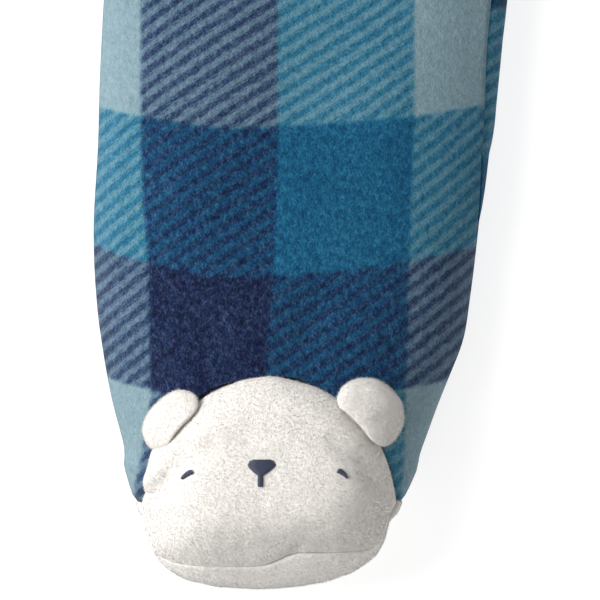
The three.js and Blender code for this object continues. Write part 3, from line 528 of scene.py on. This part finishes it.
def nestled(piece, ear):  # an ear a little wider, with its root drawn in under the rim of the head
    side = math.copysign(1, piece.data.vertices[0].co.x)
    axis = Vector((side * (ear["x"] - head["x"]), ear["y"] - head["y"], 0)).normalized()
    across = Vector((-axis.y, axis.x, 0))
    middle = Vector((side * ear["x"], ear["y"], 0))
    for vertex in piece.data.vertices:
        beside = (vertex.co - middle).dot(across)
        away = Vector((vertex.co.x - side * head["x"], vertex.co.y - head["y"], 0))
        share = min(1.0, max(0.0, (ears["from"] - away.length) / ears["over"]))
        inward = ear["nearer"] + ears["tuck"] * share
        vertex.co += across * beside * ear["wider"] - away.normalized() * inward
        vertex.co.z += ears["rise"] * share
    return piece


def nodesOf(kind, side):  # the frame's nodes that one piece of cloth stands for
    if kind in ("front", "back"):
        return [f"{kind}_body_{side}", f"{kind}_leg_{side}"]
    return [f"{kind}_{side}"]


binding = {"fuller": 0.3 * mm}


def makeBinding():
    piece = softened(["neck_binding"], "neck_binding_cloth", bindingKnit)
    for vertex in piece.data.vertices:
        vertex.co += vertex.normal * binding["fuller"]
        vertex.co.z = max(vertex.co.z, 0.0)
    return piece


steepest = 0.9
panels = {}
for side in ("right", "left"):
    for kind, cell in (("front", frontCell), ("back", backCell), ("sleeve", sleeveCell)):
        name = f"{kind}_{side}"
        piece = softened(nodesOf(kind, side), f"{name}_cloth", plaidFleece)
        relax(piece, creases if kind == "front" else [])
        if kind != "sleeve":
            closed(relax(piece, legBulges, "still", lambda p, n: abs(n.z) < steepest))
        panels[name] = mapCells(piece, cell)
    panels[f"foot_face_{side}"] = relax(
        softened([f"foot_face_{side}"], f"foot_face_{side}_cloth", creamPlush), faceCreases, "face")
    panels[f"sole_{side}"] = relax(
        softened([f"sole_{side}"], f"sole_{side}_cloth", creamPlush), solePuckers, "sole", outOfSole)
    for kind in ("outer", "inner"):
        name = f"ear_{kind}_{side}"
        pad = softened([name], f"{name}_pad", creamPlush, crease=0.1, sharp=1.2)
        panels[name] = relax(nestled(pad, ears[kind]), [], "ear")
panels["neck_binding"] = makeBinding()
print("panels made", len(panels))


def finishWith(tree, pieces, start, end):  # the pieces made real, in the group's material
    real = nodeIn(tree, "GeometryNodeRealizeInstances")
    look = nodeIn(tree, "GeometryNodeSetMaterial")
    tree.links.new(pieces, real.inputs[0])
    tree.links.new(real.outputs[0], look.inputs["Geometry"])
    tree.links.new(start.outputs["Material"], look.inputs["Material"])
    tree.links.new(look.outputs[0], end.inputs[0])
    return tree


# One fibre has unit size here. The pile's sizes are in millimetres and its counts are for a square metre.
fibre = {"sides": 3, "foot": 0.5, "bent": 0.9}
pile = {"length": 0.9, "shortest": 0.55, "longest": 1.2, "thickness": 0.13, "lean": 0.9, "turn": 6.28,
        "perFace": 5.0e6, "perSole": 2.6e6, "perEar": 6.5e6,
        "faceFrom": 0.02, "soleFrom": 0.003, "earFrom": -0.3}


def makeSpike():
    body = bmesh.new()
    turns = [2 * math.pi * k / fibre["sides"] for k in range(fibre["sides"])]
    foot = [body.verts.new((math.cos(a) * fibre["foot"], math.sin(a) * fibre["foot"], 0)) for a in turns]
    tip = body.verts.new((fibre["bent"], 0, 1))
    for a, b in zip(foot, foot[1:] + foot[:1]):
        body.faces.new((a, b, tip))
    mesh = bpy.data.meshes.new("spike")
    body.to_mesh(mesh)
    body.free()
    return bpy.data.objects.new("spike", mesh)


def makePileTree():
    tree, start, end = groupWith(
        "pileOnCloth",
        [("Geometry", "NodeSocketGeometry", None), ("Spike", "NodeSocketObject", None),
         ("Per Square Metre", "NodeSocketFloat", 1e6), ("Length", "NodeSocketFloat", 0.002),
         ("Thickness", "NodeSocketFloat", 0.0002), ("Lean", "NodeSocketFloat", 0.6),
         ("Seed", "NodeSocketInt", 4), ("Material", "NodeSocketMaterial", None)],
        [("Geometry", "NodeSocketGeometry")], "GeometryNodeTree")
    links = tree.links
    mask = nodeIn(tree, "GeometryNodeInputNamedAttribute", data_type="FLOAT")
    mask.inputs["Name"].default_value = "pile"
    density = mathIn(tree, "MULTIPLY", start.outputs["Per Square Metre"], mask.outputs["Attribute"])
    scatter = nodeIn(tree, "GeometryNodeDistributePointsOnFaces", distribute_method="RANDOM")
    links.new(start.outputs["Geometry"], scatter.inputs["Mesh"])
    links.new(density, scatter.inputs["Density"])
    links.new(start.outputs["Seed"], scatter.inputs["Seed"])
    noted = nodeIn(tree, "GeometryNodeStoreNamedAttribute", data_type="FLOAT_VECTOR", domain="POINT")
    noted.inputs["Name"].default_value = "clothNormal"
    links.new(scatter.outputs["Points"], noted.inputs["Geometry"])
    links.new(scatter.outputs["Normal"], noted.inputs["Value"])
    shape = nodeIn(tree, "GeometryNodeObjectInfo")
    links.new(start.outputs["Spike"], shape.inputs["Object"])
    tilt = nodeIn(tree, "FunctionNodeRandomValue", data_type="FLOAT_VECTOR")
    backLean = mathIn(tree, "MULTIPLY", start.outputs["Lean"], -1.0)
    corners = ((backLean, tilt.inputs[0], 0.0), (start.outputs["Lean"], tilt.inputs[1], pile["turn"]))
    for value, socket, turn in corners:
        corner = nodeIn(tree, "ShaderNodeCombineXYZ", Z=turn)
        links.new(value, corner.inputs["X"])
        links.new(value, corner.inputs["Y"])
        links.new(corner.outputs[0], socket)
    links.new(start.outputs["Seed"], tilt.inputs["Seed"])
    turned = nodeIn(tree, "FunctionNodeRotateRotation", rotation_space="LOCAL")
    links.new(scatter.outputs["Rotation"], turned.inputs[0])
    links.new(tilt.outputs[0], turned.inputs[1])
    vary = nodeIn(tree, "FunctionNodeRandomValue", data_type="FLOAT")
    vary.inputs[2].default_value = pile["shortest"]
    vary.inputs[3].default_value = pile["longest"]
    size = nodeIn(tree, "ShaderNodeCombineXYZ")
    links.new(start.outputs["Thickness"], size.inputs["X"])
    links.new(start.outputs["Thickness"], size.inputs["Y"])
    links.new(mathIn(tree, "MULTIPLY", start.outputs["Length"], vary.outputs[1]), size.inputs["Z"])
    place = nodeIn(tree, "GeometryNodeInstanceOnPoints")
    links.new(noted.outputs[0], place.inputs["Points"])
    links.new(shape.outputs["Geometry"], place.inputs["Instance"])
    links.new(turned.outputs[0], place.inputs["Rotation"])
    links.new(size.outputs[0], place.inputs["Scale"])
    return finishWith(tree, place.outputs[0], start, end)


def grown(name, mesh, tree, **values):
    carrier = link(name, mesh)
    modifier = carrier.modifiers.new("grow", "NODES")
    modifier.node_group = tree
    for item in tree.interface.items_tree:
        if item.item_type == "SOCKET" and item.in_out == "INPUT" and item.name in values:
            modifier[item.identifier] = values[item.name]
    return keepOnly(carrier, plainMesh(carrier))


def markPile(mesh, outside):
    layer = mesh.attributes.new("pile", "FLOAT", "POINT")
    for vertex in mesh.vertices:
        layer.data[vertex.index].value = 1.0 if outside(vertex.co, vertex.normal) else 0.0


spike = makeSpike()
pileTree = makePileTree()


def addPile(piece, name, density, outside, seed):
    mesh = piece.data.copy()
    markPile(mesh, outside)
    return grown(name, mesh, pileTree, **{
        "Spike": spike, "Per Square Metre": density, "Length": pile["length"] * mm,
        "Thickness": pile["thickness"] * mm, "Lean": pile["lean"], "Seed": seed, "Material": creamPile})


piles = []
for side in ("right", "left"):
    face = panels[f"foot_face_{side}"]
    piles.append(addPile(face, f"face_pile_{side}", pile["perFace"], lambda p, n: n.z > pile["faceFrom"], 11))
    sole = panels[f"sole_{side}"]
    piles.append(addPile(sole, f"sole_pile_{side}", pile["perSole"],
                         lambda p, n: outOfSole(p, n) and p.z > pile["soleFrom"], 12))
    for kind in ("ear_outer", "ear_inner"):
        ear = panels[f"{kind}_{side}"]
        piles.append(addPile(ear, f"{kind}_pile_{side}", pile["perEar"],
                             lambda p, n: n.z > pile["earFrom"], 13))
print("pile made", [len(piece.data.polygons) for piece in piles])


def makeThreadTree():
    tree, start, end = groupWith(
        "threadsOnLines",
        [("Geometry", "NodeSocketGeometry", None), ("Radius", "NodeSocketFloat", 0.0002),
         ("Sides", "NodeSocketInt", 5), ("Material", "NodeSocketMaterial", None)],
        [("Geometry", "NodeSocketGeometry")], "GeometryNodeTree")
    links = tree.links
    lines = nodeIn(tree, "GeometryNodeMeshToCurve")
    ring = nodeIn(tree, "GeometryNodeCurvePrimitiveCircle")
    tube = nodeIn(tree, "GeometryNodeCurveToMesh")
    tube.inputs["Fill Caps"].default_value = True
    links.new(start.outputs["Geometry"], lines.inputs["Mesh"])
    links.new(start.outputs["Radius"], ring.inputs["Radius"])
    links.new(start.outputs["Sides"], ring.inputs["Resolution"])
    links.new(lines.outputs[0], tube.inputs["Curve"])
    links.new(ring.outputs[0], tube.inputs["Profile Curve"])
    return finishWith(tree, tube.outputs[0], start, end)


threadTree = makeThreadTree()


def linesMesh(name, lines):
    mesh = bpy.data.meshes.new(name)
    points = [p for line in lines for p in line]
    joined = []
    start = 0
    for line in lines:
        joined += [(start + k, start + k + 1) for k in range(len(line) - 1)]
        start += len(line)
    mesh.from_pydata(points, joined, [])
    return mesh


def surfaceOf(*pieces):
    body = bmesh.new()
    for piece in pieces:
        body.from_mesh(piece.data)
    tree = BVHTree.FromBMesh(body)
    body.free()
    return tree


def dropOn(surface, x, y, lift=0.0, up=1):
    hit = surface.ray_cast(Vector((x, y, up * 0.3)), Vector((0, 0, -up)))
    return hit[0] + hit[1] * lift if hit[0] else None


def seenAt(surface, px, py, mirror, lift):  # the place that the photo shows at a pixel
    away = onCloth(px, py) - cameraPlace
    hit = surface.ray_cast(Vector((mirror * cameraPlace.x, cameraPlace.y, cameraPlace.z)),
                           Vector((mirror * away.x, away.y, away.z)).normalized())
    return hit[0] + hit[1] * lift if hit[0] else None


# Embroidered features of the bear, in pixels of the photo.
nose = {"middle": 262, "half": 15, "top": 460, "low": 475.6, "stem": 260.5, "stemHalf": 2.8, "stemLow": 486.5,
        "widest": 0.36, "corner": 0.68, "taper": 1.35}
eyes = [{"from": (182.3, 479.6), "to": (193.6, 471.4)}, {"from": (347.3, 478.2), "to": (337.2, 469.9)}]
eyeShape = {"thin": 2.3, "thick": 6.4, "bow": 1.1}
satin = {"step": 0.8, "radius": 0.17, "spans": 6, "lift": 0.55, "crown": 0.45, "sink": 0.9}


def satinLine(surface, start, finish, mirror):
    line = []
    for k in range(satin["spans"] + 1):
        t = k / satin["spans"]
        rise = satin["lift"] + satin["crown"] * math.sin(math.pi * t) - (satin["sink"] if t in (0, 1) else 0)
        point = seenAt(surface, start[0] + (finish[0] - start[0]) * t, start[1] + (finish[1] - start[1]) * t,
                       mirror, rise * mm)
        if point:
            line.append(point)
    return line


def noseLines():
    rows = []
    y = nose["top"]
    while y < nose["stemLow"]:
        middle, half = nose["stem"], nose["stemHalf"]
        t = (y - nose["top"]) / (nose["low"] - nose["top"])
        if t < nose["widest"]:
            middle = nose["middle"]
            rounding = math.sqrt(1 - (1 - t / nose["widest"]) ** 2)
            half = nose["half"] * (nose["corner"] + (1 - nose["corner"]) * rounding)
        elif t < 1:
            share = ((t - nose["widest"]) / (1 - nose["widest"])) ** nose["taper"]
            half = nose["half"] * (1 - share) + nose["stemHalf"] * share
            middle = nose["middle"] * (1 - share) + nose["stem"] * share
        rows.append(((middle - half, y), (middle + half, y)))
        y += satin["step"]
    return rows


def eyeLines(eye):
    (ax, ay), (bx, by) = eye["from"], eye["to"]
    long = math.hypot(bx - ax, by - ay)
    up = math.copysign(1, bx - ax)
    across = (up * (by - ay) / long, -up * (bx - ax) / long)
    count = int(long / satin["step"])
    rows = []
    for k in range(1, count):
        t = k / count
        bow = eyeShape["bow"] * math.sin(math.pi * t)
        wide = eyeShape["thin"] + (eyeShape["thick"] - eyeShape["thin"]) * t
        half = wide / 2 * math.sqrt(1 - (2 * t - 1) ** 4)
        x, y = ax + (bx - ax) * t + across[0] * bow, ay + (by - ay) * t + across[1] * bow
        dx, dy = across[0] * half, across[1] * half
        rows.append(((x - dx, y - dy), (x + dx, y + dy)))
    return rows


embroidery = []
for side, mirror in (("right", 1), ("left", -1)):
    surface = surfaceOf(panels[f"foot_face_{side}"])
    rows = noseLines() + [row for eye in eyes for row in eyeLines(eye)]
    lines = [satinLine(surface, a, b, mirror) for a, b in rows]
    mesh = linesMesh(f"bear_embroidery_{side}", [line for line in lines if len(line) > 2])
    embroidery.append(grown(f"bear_embroidery_{side}", mesh, threadTree, Radius=satin["radius"] * mm,
                            Sides=6, Material=threadSatin))
print("embroidery made")

stitching = {"length": 2.6, "gap": 0.9, "radius": 0.16, "lift": 0.12, "bends": (0, 0.2, 0.5, 0.8, 1),
             "zipX": 11.0, "zipFrom": 52, "zipTo": 373, "hem": 16.0}


def stitchesAlong(path):  # a polyline cut into single stitches
    lines = []
    lengths = np.cumsum([0] + [(b - a).length for a, b in zip(path, path[1:])])
    step = (stitching["length"] + stitching["gap"]) * mm
    flat = np.array([list(p) for p in path])

    def at(s):
        return Vector([float(np.interp(s, lengths, flat[:, k])) for k in range(3)])

    for k in range(int(lengths[-1] / step)):
        s = k * step
        lines.append([at(s + stitching["length"] * mm * t) for t in stitching["bends"]])
    return lines


def topstitch(name, paths):
    lines = [line for path in paths for line in stitchesAlong(path)]
    return grown(name, linesMesh(name, lines), threadTree, Radius=stitching["radius"] * mm, Sides=5,
                 Material=seamThread)


def pathOn(surface, points, up=1):
    found = [dropOn(surface, x, y, stitching["lift"] * mm, up) for x, y in points]
    return [p for p in found if p]


fronts = surfaceOf(panels["front_left"], panels["front_right"])
zipSpan = np.linspace(stitching["zipFrom"], stitching["zipTo"], 120)
zipRows = [[(side * stitching["zipX"] * mm, crotchY + y * mm) for y in zipSpan] for side in (-1, 1)]
stitches = [topstitch("zip_topstitch", [pathOn(fronts, row) for row in zipRows])]
cuff = {"low": (267, 144), "top": (321, 192), "inward": (-0.664, 0.748), "within": 0.49}
for side, sign in (("right", -1), ("left", 1)):
    surface = surfaceOf(panels[f"sleeve_{side}"])
    across = []
    for t in 0.5 - cuff["within"] * np.cos(np.linspace(0, math.pi, 60)):
        x = cuff["low"][0] + (cuff["top"][0] - cuff["low"][0]) * t + cuff["inward"][0] * stitching["hem"]
        y = cuff["low"][1] + (cuff["top"][1] - cuff["low"][1]) * t + cuff["inward"][1] * stitching["hem"]
        across.append((sign * x * mm, crotchY + y * mm))
    bothWalls = [pathOn(surface, across), pathOn(surface, across, -1)]
    stitches.append(topstitch(f"cuff_topstitch_{side}", bothWalls))
print("stitching made")

# The tape runs on under the cloth below the zip's end, and stays level from a little under the neck upwards.
zipLook = {"tapeHalf": 12.0, "tapeThick": 1.0, "longer": 6.0, "deep": 2.8, "beside": 6.0, "levelFrom": 372.0,
           "pitch": 1.5, "toothWide": 2.6, "toothLong": 0.95, "toothHigh": 1.5, "halfApart": 0.9,
           "stagger": 0.37, "coilFrom": 2.0, "coilTo": 4.0}
zipLow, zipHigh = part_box("zip")


def makeToothTree():
    tree, start, end = groupWith(
        "coilAlongLine",
        [("Geometry", "NodeSocketGeometry", None), ("Pitch", "NodeSocketFloat", 0.0015),
         ("Tooth", "NodeSocketVector", (0.0026, 0.0009, 0.0015)), ("Material", "NodeSocketMaterial", None)],
        [("Geometry", "NodeSocketGeometry")], "GeometryNodeTree")
    links = tree.links
    lines = nodeIn(tree, "GeometryNodeMeshToCurve")
    spaced = nodeIn(tree, "GeometryNodeCurveToPoints", mode="LENGTH")
    tooth = nodeIn(tree, "GeometryNodeMeshUVSphere", Segments=8, Rings=5, Radius=0.5)
    place = nodeIn(tree, "GeometryNodeInstanceOnPoints")
    links.new(start.outputs["Geometry"], lines.inputs["Mesh"])
    links.new(lines.outputs[0], spaced.inputs["Curve"])
    links.new(start.outputs["Pitch"], spaced.inputs["Length"])
    links.new(spaced.outputs["Points"], place.inputs["Points"])
    links.new(tooth.outputs[0], place.inputs["Instance"])
    links.new(start.outputs["Tooth"], place.inputs["Scale"])
    return finishWith(tree, place.outputs[0], start, end)


def tapeTop(y):  # the tape's height, from that of the cloth on both sides of it
    level = min(y, crotchY + zipLook["levelFrom"] * mm)
    hits = [dropOn(fronts, side * zipLook["beside"] * mm, level) for side in (-1, 1)]
    return sum(p.z for p in hits) / 2 - zipLook["deep"] * mm


def makeTape():
    half = zipLook["tapeHalf"] * mm
    thick = zipLook["tapeThick"] * mm
    body = bmesh.new()
    rows = []
    for y in np.linspace(zipLow.y - zipLook["longer"] * mm, zipHigh.y, 60):
        z = tapeTop(y)
        rows.append([body.verts.new((x, y, z - down)) for x, down in
                     ((-half, 0), (half, 0), (half, thick), (-half, thick))])
    for a, b in zip(rows, rows[1:]):
        for k in range(4):
            body.faces.new((a[k], b[k], b[(k + 1) % 4], a[(k + 1) % 4]))
    body.faces.new(rows[0])
    body.faces.new(rows[-1][::-1])
    bmesh.ops.recalc_face_normals(body, faces=body.faces)
    mesh = bpy.data.meshes.new("zip_tape")
    body.to_mesh(mesh)
    body.free()
    return link("zip_tape", mesh, tapeWeave)


toothTree = makeToothTree()
tape = makeTape()
coilLines = []
for side in (-1, 1):
    line = []
    for y in np.linspace(zipLow.y + zipLook["coilFrom"] * mm, zipHigh.y - zipLook["coilTo"] * mm, 80):
        z = tapeTop(y) + zipLook["toothHigh"] / 2 * mm
        line.append((side * zipLook["halfApart"] * mm, y + side * zipLook["stagger"] * mm, z))
    coilLines.append(line)
coil = grown("zip_coil", linesMesh("zip_coil", coilLines), toothTree, Pitch=zipLook["pitch"] / 2 * mm,
             Tooth=(zipLook["toothWide"] * mm, zipLook["toothLong"] * mm, zipLook["toothHigh"] * mm),
             Material=coilNylon)
for name in ("zip_slider", "zip_bridge", "zip_pull"):
    nodes[name].data.materials.clear()
    nodes[name].data.materials.append(zipMetal)
print("zip made")


for name, piece in panels.items():
    kind, side = name.rsplit("_", 1)
    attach(piece, "garment")
    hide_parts(*nodesOf(kind, side))
    if kind in ("front", "back", "sleeve"):
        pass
    elif kind in ("foot_face", "sole"):
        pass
    elif kind in ("ear_outer", "ear_inner"):
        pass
    else:
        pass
for piece in piles:
    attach(piece, "garment")
for piece in embroidery:
    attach(piece, "garment")
for piece in stitches:
    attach(piece, "garment")
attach(tape, "garment")
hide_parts("zip")
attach(coil, "garment")

floorSize = {"half": 5, "z": -0.0006}
floorCorners = [(x * floorSize["half"], y * floorSize["half"], floorSize["z"])
                for x, y in ((-1, -1), (1, -1), (1, 1), (-1, 1))]
floorMesh = bpy.data.meshes.new("floor")
floorMesh.from_pydata(floorCorners, [], [(0, 1, 2, 3)])
floorLook = material("paleFloor", Base_Color=(0.36, 0.36, 0.36, 1), Roughness=0.95, Emission_Strength=0.78,
                     Emission_Color=(1, 1, 1, 1))[0]
link("floor", floorMesh, floorLook)


def softLight(name, place, aim, size, power):
    lamp = bpy.data.lights.new(name, "AREA")
    lamp.shape = "DISK"
    lamp.size = size
    lamp.energy = power
    holder = bpy.data.objects.new(name, lamp)
    holder.location = place
    holder.rotation_euler = (Vector(aim) - Vector(place)).to_track_quat("-Z", "Y").to_euler()
    scene.collection.objects.link(holder)


light = {"key": 41.0, "fill": 1.6, "sky": 0.45}
softLight("keyLight", (-1.44, 0.16, 1.16), (-0.1, -0.28, 0), 1.3, light["key"])
softLight("fillLight", (1.2, -0.9, 1.6), (0, -0.2, 0), 1.6, light["fill"])
world = bpy.data.worlds.new("studio")
world.use_nodes = True
world.node_tree.nodes["Background"].inputs[0].default_value = (1, 1, 1, 1)
world.node_tree.nodes["Background"].inputs[1].default_value = light["sky"]
scene.world = world
scene.view_settings.view_transform = "Standard"

camera = bpy.data.cameras.new("camera")
camera.sensor_width = 36
camera.lens = camera.sensor_width * view["distance"] / (view["pixels"] * photo["scale"])
camera.clip_end = 20
holder = bpy.data.objects.new("camera", camera)
holder.location = cameraPlace
scene.collection.objects.link(holder)
scene.camera = holder

print("scene made")
